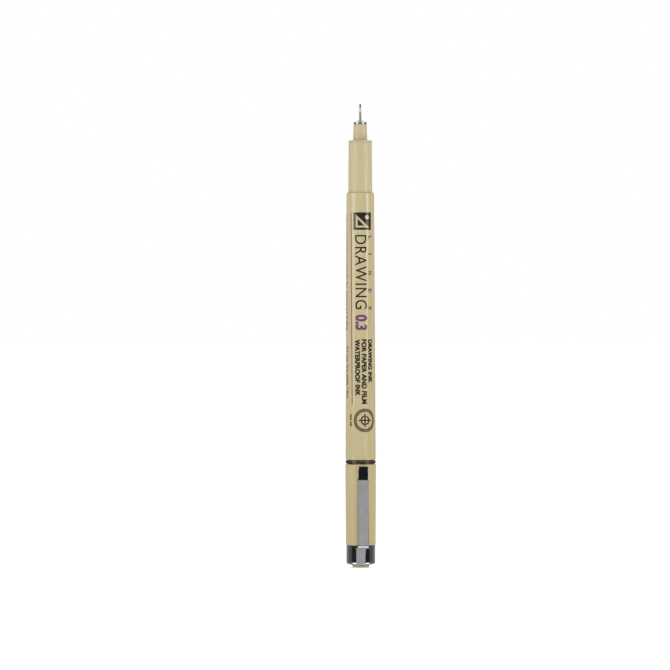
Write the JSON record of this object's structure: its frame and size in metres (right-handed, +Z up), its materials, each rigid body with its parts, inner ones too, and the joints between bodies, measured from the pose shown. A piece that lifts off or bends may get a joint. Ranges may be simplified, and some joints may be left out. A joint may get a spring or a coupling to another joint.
{
  "type": "technical pen",
  "caption": "Disposable fineliner drawing pen with a steel-sleeved nib, stepped grip, tapered barrel and a clip cap posted on its tail, standing nib up.",
  "frame": {"origin": "centre of the cap's flat end face, on the pen's axis, where the pen stands", "axes": "+Z up along the pen's axis to the nib, -Y towards the printed side and the clip, which is turned 8 degrees towards +X, +X to the right seen from the front"},
  "size_m": [0.0096, 0.0109, 0.146],
  "materials": {
    "barrel_gloss_ivory": "glossy moulded plastic with printed marks",
    "satin_ivory": "satin moulded plastic",
    "cap_ivory": "satin moulded plastic",
    "black_plastic": "semi-gloss",
    "black_rubber": "semi-gloss",
    "liner_plastic": "natural polyethylene",
    "ink_fibre": "ink-soaked fibre",
    "clear_film": "thin film",
    "nib_plastic": "ink-stained",
    "chrome": "polished",
    "stainless_steel": "drawn and polished"
  },
  "bodies": {
    "cap": {"cap_shell": "cap_ivory", "inner_cap": "liner_plastic", "crown_plug": "cap_ivory", "clip_band": "chrome"},
    "clip": {"clip_arm": "chrome"},
    "ring": {"tail_ring": "black_rubber"},
    "pen": {"barrel": "barrel_gloss_ivory", "tail_plug": "black_plastic", "reservoir_fibre": "ink_fibre", "reservoir_film": "clear_film", "grip_sleeve": "satin_ivory", "nose_piece": "satin_ivory", "nib_holder": "liner_plastic", "ink_feed": "ink_fibre", "nib_ferrule": "chrome", "nib_tube": "stainless_steel", "nib_core": "nib_plastic"}
  },
  "joints": [
    {"name": "clip_flex", "type": "hinge", "parent": "cap", "child": "clip", "pos_m": [0.00061, -0.00438, 0.00635], "axis": [0.9903, 0.1392, 0], "range_deg": [0, 6], "stiffness_Nm_per_rad": 0.8},
    {"name": "cap_pull", "type": "slide", "parent": "cap", "child": "ring", "axis": [0, 0, 1], "range_m": [0, 0.04]},
    {"name": "cap_turn", "type": "hinge", "parent": "ring", "child": "pen", "pos_m": [0, 0, 0.03325], "axis": [0, 0, 1], "continuous": true}
  ]
}
